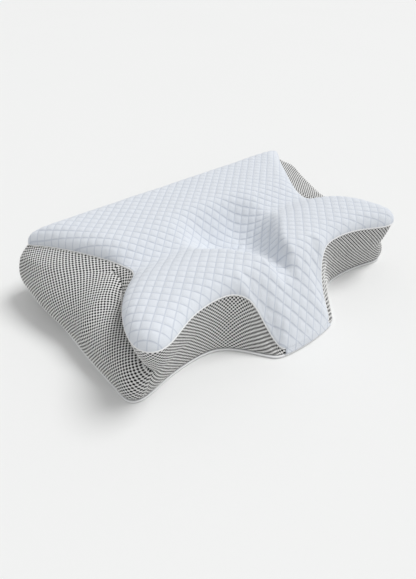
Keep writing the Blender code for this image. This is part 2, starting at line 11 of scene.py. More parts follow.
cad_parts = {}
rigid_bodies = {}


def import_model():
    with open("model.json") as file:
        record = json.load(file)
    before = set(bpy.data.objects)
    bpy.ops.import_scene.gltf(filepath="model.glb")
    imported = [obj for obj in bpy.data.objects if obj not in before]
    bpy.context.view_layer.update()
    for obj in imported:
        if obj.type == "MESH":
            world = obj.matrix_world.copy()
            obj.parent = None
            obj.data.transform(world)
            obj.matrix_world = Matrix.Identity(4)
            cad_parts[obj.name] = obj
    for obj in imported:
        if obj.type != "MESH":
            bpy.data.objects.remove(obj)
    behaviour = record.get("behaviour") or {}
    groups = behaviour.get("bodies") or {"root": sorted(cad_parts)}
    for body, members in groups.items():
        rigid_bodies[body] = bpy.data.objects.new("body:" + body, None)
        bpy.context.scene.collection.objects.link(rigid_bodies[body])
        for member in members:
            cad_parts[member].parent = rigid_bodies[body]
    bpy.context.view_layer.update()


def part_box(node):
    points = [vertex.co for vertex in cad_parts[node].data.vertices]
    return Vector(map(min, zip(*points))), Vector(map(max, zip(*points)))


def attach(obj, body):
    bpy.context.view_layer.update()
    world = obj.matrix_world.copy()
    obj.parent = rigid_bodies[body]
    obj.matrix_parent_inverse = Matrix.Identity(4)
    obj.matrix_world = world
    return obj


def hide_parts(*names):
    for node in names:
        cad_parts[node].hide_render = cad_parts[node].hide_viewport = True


MM = 0.001
BODY = "pillow"
TINY = 1e-9             # keeps a divisor from being zero
CLOSE = 1e-6            # a difference in millimetres that doesn't count

# Sampling.
CURVE_SAMPLES = 1500    # along a curve that is divided evenly
SEAM_SAMPLE = 0.02      # places between the seam's points that distances are measured to
REAR_SAMPLES = 1400     # along the rear, to find the places where the net's columns stand
SIDE_LINES = 90         # lines from seam to seam that the net's rows are taken from

# Shape, in millimetres, as the CAD part has it. Places go round the plan from the rear centre.
BASE_Z = 4.6
HALF = 33
LOOP = 2 * HALF
REAR_CORNER = 3.4
FOLD_START = 9.5
FRONT_CORNER = 18.0
NOSE_CORNER = 31.0
ROLL_WIDTH = 30.0

# Quilted top.
QUILT_PITCH = 12.4
QUILT_PUFF = 1.15
QUILT_PUFF_POWER = 0.36
QUILT_UNEVEN = 0.16     # share by which the puffs differ
UNEVEN_SINE = (3.1, 1.7)        # radians from one square to the next, one way and the other
UNEVEN_COSINE = (1.3, -2.3)
LATTICE_STEPS = 6       # mesh steps to one quilt square
LATTICE_REACH = 420.0   # from the middle, past the furthest seam
LATTICE_GAP = 0.6       # mesh steps left free between the lattice and the last ring
BORDER = (3.0, 9.0)     # the quilting fades in between these distances from the seam
TOP_THICK = 1.8
EDGE_STEPS = (0.0, 0.25, 0.7, 1.4, 2.4, 3.6, 5.0)    # rings of the mesh inside the seam
SEAM_STATION = 2.2
LOBE_ROWS = (1.6, 1.2, 0.9, 0.6, 0.3, 0.0)      # shares of the side, down the apron over the lobe
SLOPE_STEP = 0.4        # distance to each side over which the slope is taken
SLACK_HEIGHT = 0.45
SLACK_X = (23.0, 1.4, 31.0)     # waves along x: their length, then the size and length of their wander
SLACK_Y = (19.0, 0.8, 37.0)     # the same along y
SLACK_FADE = (1.0, 12.0)        # the slack fades in between these distances from the seam
TUCK_HALF_LENGTH = 27.0
TUCK_FULL = 0.3         # share of the half length at full depth
TUCK_DEPTH = 4.5
TUCK_Y = -6.0
TUCK_SLOPE = 0.14
TUCK_WIDTH = 3.0
LIP_SHARE = 0.4         # height of the tuck's lips as a share of its depth
LIP_WIDTH = 9.0

# Net.
NET_CELL = 3.0          # cells of holes and knots alternate like a chequer, 4.2 mm on the diagonal
NET_DEPTH = 1.0
NET_BACK = 1.9
HOLE_CARDINAL = 0.48
HOLE_DIAGONAL = 0.44
SHORTEST_HOLE = 0.3     # cells shorter than this share of a full one are closed
KNOT_RISE = 0.4
BRIDGE_RISE = 0.12
HEM_WIDTH = 4.0
HEM_TUCK = 1.1
FOLD_TUCK = 2.0
FOLD_TUCK_PLACES = 1.0  # places over which the fold's tuck starts
TOP_SHARE = 1.985       # how far up the side the net goes, just short of the upper seam
LARGEST_STEP = 3        # columns whose ends are more rows apart than this end on their own
RING = ((HOLE_DIAGONAL, HOLE_DIAGONAL), (0, HOLE_CARDINAL), (-HOLE_DIAGONAL, HOLE_DIAGONAL),
        (-HOLE_CARDINAL, 0), (-HOLE_DIAGONAL, -HOLE_DIAGONAL), (0, -HOLE_CARDINAL),
        (HOLE_DIAGONAL, -HOLE_DIAGONAL), (HOLE_CARDINAL, 0))    # a hole's rim, as shares of its cell

# The CAD nodes that the net panels stand for, in the order the panels are made.
NET_NODES = ("gusset_end_right", "gusset_end_left", "gusset_front_right", "gusset_front_left", "gusset_rear")

# Pipings.
UPPER_PIPING_R = 1.3
UPPER_PIPING_PROUD = 1.3
LOWER_PIPING_R = 1.7
LOWER_PIPING_Z = 2.4
PIPING_SIDES = 12
PIPING_STEP = 1.5
TIP_STEPS = 3           # steps over which a cord's end is rounded
TIP_SMALLEST = 0.03     # of the squared radius, at the very end

# Bottom panel.
BOTTOM_STEP = 3.0
BOTTOM_RINGS = ((2.3, 2.4), (2.1, 1.8), (2.1, 0.9), (2.5, 0.25), (3.3, 0.0))    # inset and height

# Zipper.
ZIP_HALF = 150.0
ZIP_LOW_Z = 7.0
ZIP_HIGH_Z = 35.0
ROWS_ABOVE_ZIP = 23
COIL_PITCH = 1.5
COIL_WIRE = 0.27
COIL_POINTS = 12
COIL_SIDES = 6
METAL_ROUNDING = 0.25
ROUNDING_SEGMENTS = 3
WELD_DISTANCE = 0.00001 # metres

# Care label.
LABEL_STEPS = 24
LABEL_OFF = 0.15        # from the front of the CAD label
LABEL_THICK = 0.3
LABEL_WAVE = 0.5
LABEL_WAVE_ANGLE = 5.0  # radians across the label
LABEL_WAVE_START = 0.6
LABEL_LIFT = 0.25       # of the loose lower edge
LABEL_DEEPEST = -0.1

# The top away from its edges.
CREST_Z = 116.0         # rear roll and the ridges of the wings
REAR_DROP = 6.0         # the roll's fall towards the rear edge
REAR_DROP_Y = (155.0, 192.0)
HOLLOW_DEPTH = 54.0     # head hollow below the crest
HOLLOW_HALF_WIDTH = 80.0
HOLLOW_SIDES = (0.25, 1.12)     # where its sides begin and end, in half widths
HOLLOW_REAR_Y = (0.0, 82.0)     # where it rises to the rear roll
NECK_DEPTH = 28.0       # channel at the hollow's front
NECK_HALF_WIDTH = 26.0
NECK_NARROWS_Y = (5.0, 105.0)   # distances forward of the centre
NECK_RISES_Y = (10.0, 95.0)
VALLEY_DEPTH = 19.0     # shallow valley across each wing, level with the side cut-outs
VALLEY_Y = 12.0
VALLEY_WIDTH = 36.0
RAMP_FOOT_Y = -190.0    # front lobe's ramp
RAMP_FOOT_Z = 17.0
RAMP_RISE = 80.0        # climbed in the run
RAMP_RUN = 68.0
RAMP_BEND = 1.15
RAMP_SIDE_RISE = 120.0  # lifts the ramp clear of the wings
RAMP_SIDE_X = (66.0, 116.0)
RAMP_BLEND = 22.0

# place: (x, y, z) of the upper seam: rear edge, side cut-out, wing tip, shoulder arch, front lobe.
UPPER_SEAM = {
    0: (0, 187, 91), 2: (180, 187, 91), 3: (243, 185, 91.5), 4: (272, 174, 92), 5: (262, 157, 93),
    7: (224, 104, 96), 9: (190, 46, 96), 10: (181, 23, 96), 11: (178, 5, 96), 12: (187, -8, 96),
    14: (220, -43, 98), 16: (245, -97, 99), 17: (247, -122, 99), 18: (237, -138, 98.5), 19: (219, -141, 98),
    21: (168, -120, 98), 23: (115, -112, 97), 24.5: (91, -117, 94), 26: (73, -128, 82), 28: (60, -149, 46),
    30: (52, -174, 16), 31: (45, -181.6, 11), 33: (0, -187.6, 10.6),
}

# place: (x, y, z) of the line halfway up the sides, which is a sharp fold under each wing.
FOLD = {
    0: (0, 187, 60), 2: (181, 187, 60), 3: (250, 186, 62), 4: (290, 180, 68), 5: (289, 153, 81),
    7: (264, 98.5, 84), 9: (212, 43, 88.5), 10: (197, 23, 87), 11: (202, 5, 78), 12: (207, -6, 68),
    13: (216, -20, 62), 15: (231, -66, 58), 17: (238, -115, 54), 18: (234, -128, 50), 19: (222, -131, 48),
    21: (170, -117, 50), 23: (119, -115, 50), 25: (92, -128, 48), 27: (73, -147, 38), 29: (61, -168, 15),
    31: (47, -183.6, 7.6), 33: (0, -189, 7.4),
}

# place: (x, y) of the base seam.
BASE_SEAM = {
    0: (0, 182), 2: (182, 182), 3: (250, 180), 4: (280, 167), 5: (286, 143), 7: (284, 82), 11: (280, -6),
    16: (272, -100), 17: (268, -118), 18: (254, -126), 20: (208, -118), 22: (146, -114), 24: (109, -127),
    26: (87, -150), 29: (66, -177), 31: (48, -186), 33: (0, -190),
}

# place: how far the side between the base and the fold swells out.
BELLY = {
    0: 0, 2: 0, 3: 4, 4: 20, 5: 27, 7: 36, 9: 41, 11: 41, 13: 36, 15: 26, 17: 12, 18: 5, 19: 3, 24: 3, 28: 2,
    33: 1,
}

# place: how far the side between the fold and the upper seam swells out.
CROWN = {0: 0.7, 2: 0.7, 3.4: 1.2, 4: 2, 5: 2.5, 7: 3, 9: 2, 12: 2, 18: 2, 33: 0.5}

# The swell's direction, as shares of the belly: outward and up, low on the side and then just under the fold.
LOW_SWELL = (1.05, 0.3)
HIGH_SWELL = 0.5
REAR_LIFT = 0.2         # upward share under the fold near the rear corner
WING_LIFT = 1.05        # and under the wing, where the side hangs over
LIFT_PLACES = (6.0, 12.0)

# name: dark and light colour, period of the ribs and depth of the relief in metres, roughness and sheen.
KNITS = {
    "quilted_knit": ((0.73, 0.77, 0.83), (0.80, 0.835, 0.885), 0.0014, 0.00012, 0.85, 0.2),
    "net_yarn": ((0.74, 0.74, 0.73), (0.87, 0.87, 0.86), 0.0009, 0.00008, 0.7, 0.1),
    # painted shade: near-black for the shaded inside seen through the net's holes
    "net_hole_shade": ((0.008, 0.008, 0.009), (0.014, 0.014, 0.015), 0.0012, 0.00005, 1.0, 0.0),
    "under_knit": ((0.58, 0.60, 0.64), (0.66, 0.68, 0.72), 0.0016, 0.00015, 0.9, 0.15),
    "piping_twill": ((0.90, 0.91, 0.92), (0.95, 0.955, 0.96), 0.0008, 0.00008, 0.7, 0.15),
    "liner_jersey": ((0.84, 0.84, 0.83), (0.92, 0.92, 0.91), 0.001, 0.00008, 0.9, 0.15),
    "tape_weave": ((0.66, 0.68, 0.72), (0.76, 0.78, 0.81), 0.0007, 0.00008, 0.9, 0.15),
    "label_weave": ((0.88, 0.88, 0.87), (0.94, 0.94, 0.93), 0.0004, 0.00002, 0.45, 0.3),
}
FUZZ_SIZE = 0.7         # of the ribs' period
RIB_RELIEF = 0.5        # height of the ribs beside that of the fuzz
SLOW_SIZE = 0.05        # metres over which a cloth's colour changes slowly
SLOW_SHARE = 0.6        # shares of the slow change and of the fuzz in the colour
FUZZ_SHARE = 0.4
# Painted shade: a bluish darkening along the quilting's stitched grooves, where shade falls between the
# puffs.
GROOVE_SHADE_COLOUR = (0.45, 0.50, 0.60)
GROOVE_SHADE_REACH = 1.0      # millimetres to each side of the stitched line that the painted groove shade reaches
GROOVE_SHADE_SOFTNESS = 0.6
GROOVE_SHADE_WEIGHT = 0.6

FOAM_COLOURS = ((0.90, 0.86, 0.74), (0.84, 0.79, 0.64), (0.92, 0.88, 0.77))     # plain, dark, light
FOAM_ROUGHNESS = 0.95
FOAM_PATCH = 0.02
PORE_SIZE = 0.0012
PORE_DEPTH = 0.0003
METAL_COLOURS = ((0.62, 0.63, 0.65), (0.55, 0.56, 0.58), (0.74, 0.75, 0.77))
METAL_ROUGHNESS = 0.3
METAL_GRAIN = 0.0006
GRAIN_DETAIL = 4.0
GRAIN_ROUGHNESS = (0.2, 0.25)   # least, and how much the grain adds
NYLON_COLOURS = ((0.82, 0.84, 0.86), (0.76, 0.78, 0.81), (0.86, 0.88, 0.90))
NYLON_ROUGHNESS = 0.35
NYLON_PATCH = 0.004
NYLON_GRAIN = 0.0008
NYLON_DEPTH = 0.00003

# Camera, in metres, millimetres of lens and shares of the picture.
CAMERA_TURN = math.radians(36.925)
CAMERA_TILT = math.radians(41.0)
CAMERA_AWAY = 0.73695
CAMERA_RIGHT = -0.04569
CAMERA_UP = -0.01766
CAMERA_LENS = 25.76
CAMERA_SHIFT = (0.0079, -0.0029)
SENSOR_WIDTH = 36
NEAREST_SEEN = 0.01

# Studio.
WORLD_STRENGTH = 0.53
KEY_POWER = 1.83
KEY_SOFTNESS = math.radians(26)
KEY_FROM = (0.85, -0.15, 1.25)
FLOOR_Z = -0.0002
FLOOR_HALF = 60.0
FLOOR_COLOURS = ((0.86, 0.86, 0.855), (0.875, 0.88, 0.875), (0.885, 0.89, 0.885))
FLOOR_ROUGHNESS = 0.9
FLOOR_PATCH = 0.6


def loop_spline(points, mirrored):
    """A smooth closed curve through the half's points and their mirror image, as a function of the place."""
    places = sorted(points)
    known = [(p, np.atleast_1d(np.array(points[p], float))) for p in places]
    flip = np.ones(len(known[0][1]))
    if mirrored:
        flip[0] = -1
    known += [(LOOP - p, v * flip) for p, v in reversed(known) if 0 < p < HALF]
    t = np.array([p for p, _ in known], float)
    v = np.array([v for _, v in known])
    count = len(t)
    step = np.diff(np.append(t, t[0] + LOOP))
    system = np.zeros((count, count))
    right = np.zeros_like(v)
    for i in range(count):
        before, after = step[i - 1], step[i]
        system[i, i - 1] += before
        system[i, i] += 2 * (before + after)
        system[i, (i + 1) % count] += after
        right[i] = 6 * ((v[(i + 1) % count] - v[i]) / after - (v[i] - v[i - 1]) / before)
    bend = np.linalg.solve(system, right)

    def at(place):
        place = np.mod(np.atleast_1d(np.array(place, float)), LOOP)
        i = np.clip(np.searchsorted(t, place, side="right") - 1, 0, count - 1)
        j = (i + 1) % count
        h = step[i][:, None]
        a = (t[i][:, None] + h - place[:, None]) / h
        b = 1 - a
        curve = a * v[i] + b * v[j]
        return curve + ((a ** 3 - a) * bend[i] + (b ** 3 - b) * bend[j]) * h ** 2 / 6

    return at


upper_seam = loop_spline(UPPER_SEAM, True)
fold_line = loop_spline(FOLD, True)
base_plan = loop_spline(BASE_SEAM, True)
belly_size = loop_spline(BELLY, False)
crown_size = loop_spline(CROWN, False)


def base_seam(place):
    """The base seam at the height of the gussets' lower edge."""
    plan = base_plan(place)
    return np.column_stack([plan, np.full(len(plan), BASE_Z)])


def outward(place):
    """The level direction out of the base seam."""
    small = 0.05
    along = base_plan(np.array(place) + small) - base_plan(np.array(place) - small)
    along /= np.linalg.norm(along, axis=1)[:, None]
    return np.column_stack([-along[:, 1], along[:, 0], np.zeros(len(along))])


def smooth_step(x, low, high):
    x = np.clip((x - low) / (high - low), 0, 1)
    return x * x * (3 - 2 * x)


def side_row(place, share):
    """A row of the sides: share 0 is the base seam, 1 the fold line and 2 the upper seam."""
    low, fold, high = base_seam(place), fold_line(place), upper_seam(place)
    out, up = outward(place), np.array([0, 0, 1.0])
    if share <= 1:
        belly = belly_size(place)
        near = np.minimum(np.mod(place, LOOP), LOOP - np.mod(place, LOOP))[:, None]
        lift = REAR_LIFT + (WING_LIFT - REAR_LIFT) * smooth_step(near, *LIFT_PLACES)
        chord = fold - low
        first = low + chord / 3 + belly * (LOW_SWELL[0] * out + LOW_SWELL[1] * up)
        second = low + chord * 2 / 3 + belly * (HIGH_SWELL * out + lift * up)
        a, b = 1 - share, share
        return a ** 3 * low + 3 * a * a * b * first + 3 * a * b * b * second + b ** 3 * fold
    rise = share - 1
    swell = 4 * rise * (1 - rise) * crown_size(place)
    return fold + (high - fold) * rise + swell * out


def smooth_min(a, b, width):
    h = np.clip(0.5 + 0.5 * (b - a) / width, 0, 1)
    return b + (a - b) * h - width * h * (1 - h)


def land(x, y):
    """Height of the top away from its edges: rear roll, head hollow, neck channel, wings and lobe ramp."""
    crest = CREST_Z - REAR_DROP * smooth_step(y, *REAR_DROP_Y)
    narrowing = (HOLLOW_HALF_WIDTH - NECK_HALF_WIDTH) * smooth_step(-y, *NECK_NARROWS_Y)
    half_width = HOLLOW_HALF_WIDTH - narrowing
    depth = HOLLOW_DEPTH - (HOLLOW_DEPTH - NECK_DEPTH) * smooth_step(-y, *NECK_RISES_Y)
    flank = smooth_step(np.abs(x), HOLLOW_SIDES[0] * half_width, HOLLOW_SIDES[1] * half_width)
    bowl = (1 - flank) * (1 - smooth_step(y, *HOLLOW_REAR_Y))
    valley = VALLEY_DEPTH * np.exp(-((y - VALLEY_Y) / VALLEY_WIDTH) ** 2)
    climb = RAMP_RISE * np.clip((y - RAMP_FOOT_Y) / RAMP_RUN, 0, 2) ** RAMP_BEND
    ramp = RAMP_FOOT_Z + climb + RAMP_SIDE_RISE * smooth_step(np.abs(x), *RAMP_SIDE_X)
    return smooth_min(crest - depth * bowl - valley * (1 - bowl), ramp, RAMP_BLEND)


def plan_outward(curve, place):
    """The level direction square to a plan curve, out of the pillow."""
    small = 0.02
    along = curve(np.array(place) + small)[:, :2] - curve(np.array(place) - small)[:, :2]
    along /= np.linalg.norm(along, axis=1)[:, None]
    return np.column_stack([-along[:, 1], along[:, 0]])


def run_length(points):
    """Distance along a line of points, from 0 at the first."""
    return np.concatenate([[0], np.cumsum(np.linalg.norm(np.diff(points, axis=0), axis=1))])


def places_along(curve, first, last, spacing):
    """Places from first to last, evenly spaced along a curve."""
    fine = np.linspace(first, last, CURVE_SAMPLES)
    run = run_length(curve(fine))
    count = max(2, round(run[-1] / spacing))
    return np.interp(np.linspace(0, run[-1], count + 1), run, fine)


def add_mesh(name, points, faces, materials, face_materials=None, smooth=True):
    """A named mesh from points in millimetres."""
    mesh = bpy.data.meshes.new(name)
    mesh.from_pydata([tuple(p) for p in (np.array(points, float) * MM).tolist()], [], faces)
    for finish in materials:
        mesh.materials.append(finish)
    if face_materials is not None:
        mesh.polygons.foreach_set("material_index", face_materials)
    mesh.polygons.foreach_set("use_smooth", [smooth] * len(mesh.polygons))
    mesh.validate()
    made = bpy.data.objects.new(name, mesh)
    bpy.context.scene.collection.objects.link(made)
    return made


# ---------------------------------------------------------------- quilted top

class TopShape:
    """The top's height at any point of the plan, from its seam's outline about the middle."""

    def __init__(self):
        self.places = np.arange(0, LOOP, SEAM_SAMPLE)
        self.seam = upper_seam(self.places)
        self.angle = np.unwrap(np.arctan2(self.seam[:, 0], self.seam[:, 1]))
        self.radius = np.hypot(self.seam[:, 0], self.seam[:, 1])
        self.tree = kdtree.KDTree(len(self.places))
        for index, (x, y, _) in enumerate(self.seam):
            self.tree.insert((x, y, 0), index)
        self.tree.balance()

    def seam_at(self, x, y):
        """Radius and height of the seam in the direction of each point."""
        angle = np.mod(np.arctan2(x, y), math.tau)
        return (np.interp(angle, self.angle, self.radius, period=math.tau),
                np.interp(angle, self.angle, self.seam[:, 2], period=math.tau))

    def distance(self, x, y):
        return np.array([self.tree.find((a, b, 0))[2] for a, b in zip(x, y)])

    def height(self, x, y, distance):
        near = np.clip(distance / ROLL_WIDTH, 0, 1)
        roll = np.sqrt(1 - (1 - near) ** 2)
        seam_z = self.seam_at(x, y)[1]
        return seam_z + (land(x, y) - seam_z) * roll


def quilt_puff(x, y, distance):
    """How far each point stands out of the smooth top: puffed diagonal squares, plain by the seam."""
    a = (x + y) / math.sqrt(2) / QUILT_PITCH
    b = (x - y) / math.sqrt(2) / QUILT_PITCH
    puff = np.abs(np.sin(math.pi * a) * np.sin(math.pi * b)) ** QUILT_PUFF_POWER
    row, column = np.floor(a), np.floor(b)
    first = UNEVEN_SINE[0] * row + UNEVEN_SINE[1] * column
    second = UNEVEN_COSINE[0] * row + UNEVEN_COSINE[1] * column
    uneven = 1 + QUILT_UNEVEN * np.sin(first) * np.cos(second)
    return QUILT_PUFF * puff * uneven * smooth_step(distance, *BORDER)


def slack(x, y):
    """Slow waves of the loose cover, and the tuck where it is caught down in the head hollow."""
    along_x = np.sin(x / SLACK_X[0] + SLACK_X[1] * np.sin(y / SLACK_X[2]))
    along_y = np.sin(y / SLACK_Y[0] + SLACK_Y[1] * np.sin(x / SLACK_Y[2]))
    waves = SLACK_HEIGHT * along_x * along_y
    off = y - TUCK_Y - TUCK_SLOPE * x
    ends = 1 - smooth_step(np.abs(x), TUCK_HALF_LENGTH * TUCK_FULL, TUCK_HALF_LENGTH)
    tuck = TUCK_DEPTH * np.exp(-(off / TUCK_WIDTH) ** 2) * ends
    lips = LIP_SHARE * TUCK_DEPTH * np.exp(-(off / LIP_WIDTH) ** 2) * np.exp(-(x / TUCK_HALF_LENGTH) ** 2)
    return waves - tuck + lips


def lattice_inside(shape):
    """Points of the quilting's diagonal lattice inside the last ring, and their distances from the seam."""
    spacing = QUILT_PITCH / LATTICE_STEPS
    reach = int(LATTICE_REACH / spacing)
    steps = np.arange(-reach, reach + 1)
    i, j = np.meshgrid(steps, steps)
    x = (i + j).ravel() * spacing / math.sqrt(2)
    y = (i - j).ravel() * spacing / math.sqrt(2)
    inside = np.hypot(x, y) < shape.seam_at(x, y)[0] - EDGE_STEPS[-1]
    x, y = x[inside], y[inside]
    distance = shape.distance(x, y)
    keep = distance > EDGE_STEPS[-1] + spacing * LATTICE_GAP
    return np.column_stack([x[keep], y[keep]]), distance[keep]


def fill_with_triangles(ring, lattice):
    """Triangles over a closed ring of points and the lattice inside it, numbered with the ring first."""
    given = [Vector(p) for p in ring.tolist() + lattice.tolist()]
    edges = [(k, (k + 1) % len(ring)) for k in range(len(ring))]
    points, _, triangles, sources, _, _ = delaunay_2d_cdt(given, edges, [], 1, CLOSE)
    if len(points) != len(given) or any(s[0] != n for n, s in enumerate(sources)):
        raise ValueError("the triangulation changed the points of the top")
    return triangles


def top_normals(shape, flat):
    """The directions square to the smooth top."""
    slopes = []
    for axis in (0, 1):
        ahead, behind = flat.copy(), flat.copy()
        ahead[:, axis] += SLOPE_STEP
        behind[:, axis] -= SLOPE_STEP
        rise = (shape.height(ahead[:, 0], ahead[:, 1], shape.distance(*ahead.T))
                - shape.height(behind[:, 0], behind[:, 1], shape.distance(*behind.T)))
        slopes.append(-rise / (2 * SLOPE_STEP))
    normals = np.column_stack(slopes + [np.ones(len(flat))])
    return normals / np.linalg.norm(normals, axis=1)[:, None]


def add_apron(points, faces, below, places):
    """Adds the part of the top that wraps down over the lobe, starting from points of the seam."""
    for share in LOBE_ROWS:
        row = side_row(places, share)
        here = list(range(len(points), len(points) + len(row)))
        points += row.tolist()
        for k in range(len(row) - 1):
            faces.append((here[k], here[k + 1], below[k + 1], below[k]))
        below = here


def add_quilted_top(finish):
    """The quilted top panel, which wraps down over the front lobe to the base seam."""
    shape = TopShape()
    right = places_along(upper_seam, 0, NOSE_CORNER, SEAM_STATION)
    lobe = places_along(upper_seam, NOSE_CORNER, LOOP - NOSE_CORNER, SEAM_STATION)
    places = np.concatenate([right[:-1], lobe[:-1], LOOP - right[:0:-1]])
    count = len(places)
    seam = upper_seam(places)
    inward = -plan_outward(upper_seam, places)
    rings = [seam[:, :2] + inward * step for step in EDGE_STEPS]
    lattice, lattice_distance = lattice_inside(shape)

    flat = np.concatenate(rings + [lattice])
    distance = np.concatenate([np.repeat(EDGE_STEPS, count), lattice_distance])
    x, y = flat[:, 0], flat[:, 1]
    surface = np.column_stack([flat, shape.height(x, y, distance)])
    lift = quilt_puff(x, y, distance) + slack(x, y) * smooth_step(distance, *SLACK_FADE)
    surface += top_normals(shape, flat) * lift[:, None]

    faces = []
    for ring in range(len(EDGE_STEPS) - 1):
        for k in range(count):
            after = (k + 1) % count
            faces.append((ring * count + k, ring * count + after,
                          (ring + 1) * count + after, (ring + 1) * count + k))
    base = (len(EDGE_STEPS) - 1) * count
    faces += [tuple(base + v for v in reversed(t)) for t in fill_with_triangles(rings[-1], lattice)]
    points = surface.tolist()
    first = len(right) - 1
    last = first + len(lobe) - 1
    add_apron(points, faces, list(range(first, last + 1)), places[first:last + 1])

    top = add_mesh("quilted_top", points, faces, [finish])
    thick = top.modifiers.new("fabric", "SOLIDIFY")
    thick.thickness = TOP_THICK * MM
    thick.offset = -1
    apply_modifiers(top)
    return top


def apply_modifiers(made):
    graph = bpy.context.evaluated_depsgraph_get()
    mesh = bpy.data.meshes.new_from_object(made.evaluated_get(graph))
    made.modifiers.clear()
    made.data = mesh


# ---------------------------------------------------------------- net side panels

class NetMesh:
    """A net over columns of corner points: a chequer of holes and knots, closed behind by a plain face.
    run is each point's distance up its column. Columns that have ended repeat their last point."""

    def __init__(self, columns, run):
        self.columns = columns
        self.ends = [int(np.argmax(run[:, c] >= run[-1, c] - CLOSE)) for c in range(columns.shape[1])]
        self.normals = self.corner_normals()
        self.points, self.faces, self.kinds = [], [], []
        self.corner, self.back, self.middle, self.sides = {}, {}, {}, {}

    def corner_normals(self):
        """The direction out of the cloth at each corner. A column that has ended keeps its last rise."""
        along = np.gradient(self.columns, axis=1)
        up = np.gradient(self.columns, axis=0)
        for c, end in enumerate(self.ends):
            up[end:, c] = up[max(end - 1, 0), c]
        normals = np.cross(up, along)
        return normals / np.maximum(np.linalg.norm(normals, axis=2), TINY)[:, :, None]

    def point(self, place):
        self.points.append(place)
        return len(self.points) - 1

    def face(self, corners, kind=0):
        corners = [c for n, c in enumerate(corners) if c != corners[n - 1]]
        if len(corners) > 2:
            self.faces.append(corners)
            self.kinds.append(kind)

    def key(self, r, c):
        return min(r, self.ends[c]), c

    def front_corner(self, r, c):
        k = self.key(r, c)
        if k not in self.corner:
            self.corner[k] = self.point(self.columns[k] + self.normals[k] * BRIDGE_RISE)
        return self.corner[k]

    def back_corner(self, r, c):
        k = self.key(r, c)
        if k not in self.back:
            self.back[k] = self.point(self.columns[k] - self.normals[k] * NET_BACK)
        return self.back[k]

    def edge_middle(self, a, b):
        a, b = self.key(*a), self.key(*b)
        if a == b:
            return self.front_corner(*a)
        k = (min(a, b), max(a, b))
        if k not in self.middle:
            self.middle[k] = self.point((self.columns[a] + self.columns[b]) / 2)
        return self.middle[k]

    def is_cell(self, r, c):
        """Neighbours end about a row apart along a seam. Where they step by more, the taller ends freely."""
        low, high = sorted((self.ends[c], self.ends[c + 1]))
        return r < (low if high - low > LARGEST_STEP else high)

    def add_cell(self, r, c):
        """One cell of the chequer. Cells too short for a hole are closed by a knot."""
        ring = [(r, c), (r, c + 1), (r + 1, c + 1), (r + 1, c)]
        outer = []
        for n in range(4):
            here, after = ring[n], ring[(n + 1) % 4]
            a, b = self.key(*here), self.key(*after)
            if a != b:
                self.sides.setdefault((min(a, b), max(a, b)), []).append((a, b))
            outer += [self.front_corner(*here), self.edge_middle(here, after)]
        corners = np.array([self.columns[self.key(*k)] for k in ring])
        normal = np.mean([self.normals[self.key(*k)] for k in ring], axis=0)
        normal /= np.linalg.norm(normal)
        tall = max(np.linalg.norm(corners[0] - corners[3]), np.linalg.norm(corners[1] - corners[2]))
        self.face([self.back_corner(*k) for k in reversed(ring)])
        if (r + c) % 2 or tall < NET_CELL * SHORTEST_HOLE:
            self.add_knot(outer, corners, normal)
        else:
            self.add_hole(outer, corners, normal)

    def add_knot(self, outer, corners, normal):
        knot = self.point(corners.mean(axis=0) + normal * KNOT_RISE)
        for n, start in enumerate(outer):
            self.face([start, outer[(n + 1) % len(outer)], knot])

    def add_hole(self, outer, corners, normal):
        """A recessed hole, whose walls and floor have the second material, a near-black painted shade for the
        dark inside seen through the hole.
        """
        hole, floor = [], []
        for s, t in RING:
            u, v = 0.5 - s, 0.5 - t
            at = ((1 - v) * ((1 - u) * corners[0] + u * corners[1])
                  + v * ((1 - u) * corners[3] + u * corners[2]))
            hole.append(self.point(at))
            floor.append(self.point(at - normal * NET_DEPTH))
        for n in range(len(RING)):
            after = (n + 1) % len(RING)
            self.face([outer[n], outer[after], hole[after], hole[n]])
            self.face([hole[n], hole[after], floor[after], floor[n]], 1)
        self.face(floor, 1)

    def close_rim(self):
        """Joins front and back along every side that only one cell has."""
        for ways in self.sides.values():
            if len(ways) == 1:
                a, b = ways[0]
                self.face([self.front_corner(*b), self.edge_middle(a, b), self.front_corner(*a),
                           self.back_corner(*a), self.back_corner(*b)])


def net_panel(name, columns, run, slot_at, finishes):
    """A net panel. slot_at(row, column) is true where the zipper's slot leaves the net out."""
    net = NetMesh(columns, run)
    height, width = columns.shape[:2]
    for r in range(height - 1):
        for c in range(width - 1):
            if net.is_cell(r, c) and not slot_at(r, c):
                net.add_cell(r, c)
    net.close_rim()
    return add_mesh(name, net.points, net.faces, finishes, net.kinds)


def net_columns(places, start_share, end_share, hem_first, hem_last, row_run=None):
    """Columns of net corners at the places, counted in cells from the start share's edge to the other.
    The hems sink towards the seams."""
    shares = np.linspace(start_share, end_share, SIDE_LINES)
    lines = np.array([side_row(places, s) for s in shares])
    lengths = np.array([run_length(lines[:, c]) for c in range(len(places))]).T
    if row_run is None:
        rows = int(math.ceil(lengths[-1].max() / NET_CELL)) + 1
        row_run = np.arange(rows) * NET_CELL
    columns = np.empty((len(row_run), len(places), 3))
    full = lengths[-1][None, :]
    reached = row_run[:, None] > full - NET_CELL / 2
    run = np.where(reached, full, row_run[:, None])
    for c in range(len(places)):
        for axis in range(3):
            columns[:, c, axis] = np.interp(run[:, c], lengths[:, c], lines[:, c, axis])
    level = outward(places)
    at_first = hem_first * (1 - smooth_step(run, 0, HEM_WIDTH))
    at_last = hem_last * (1 - smooth_step(full - run, 0, HEM_WIDTH))
    columns -= level[None, :, :] * (at_first + at_last)[:, :, None]
    return columns, run


def mirrored(columns):
    """The same columns on the left half, in the order that keeps them facing out."""
    flipped = columns[:, ::-1].copy()
    flipped[:, :, 0] *= -1
    return flipped


def no_slot(row, column):
    return False


def fold_tuck(places):
    """How far the hems sink at the fold, which starts from nothing."""
    return FOLD_TUCK * smooth_step(places, FOLD_START, FOLD_START + FOLD_TUCK_PLACES)


def padded(grid, rows):
    """The same grid with its last row repeated, up to a number of rows."""
    return np.concatenate([grid, np.repeat(grid[-1:], rows - len(grid), axis=0)])


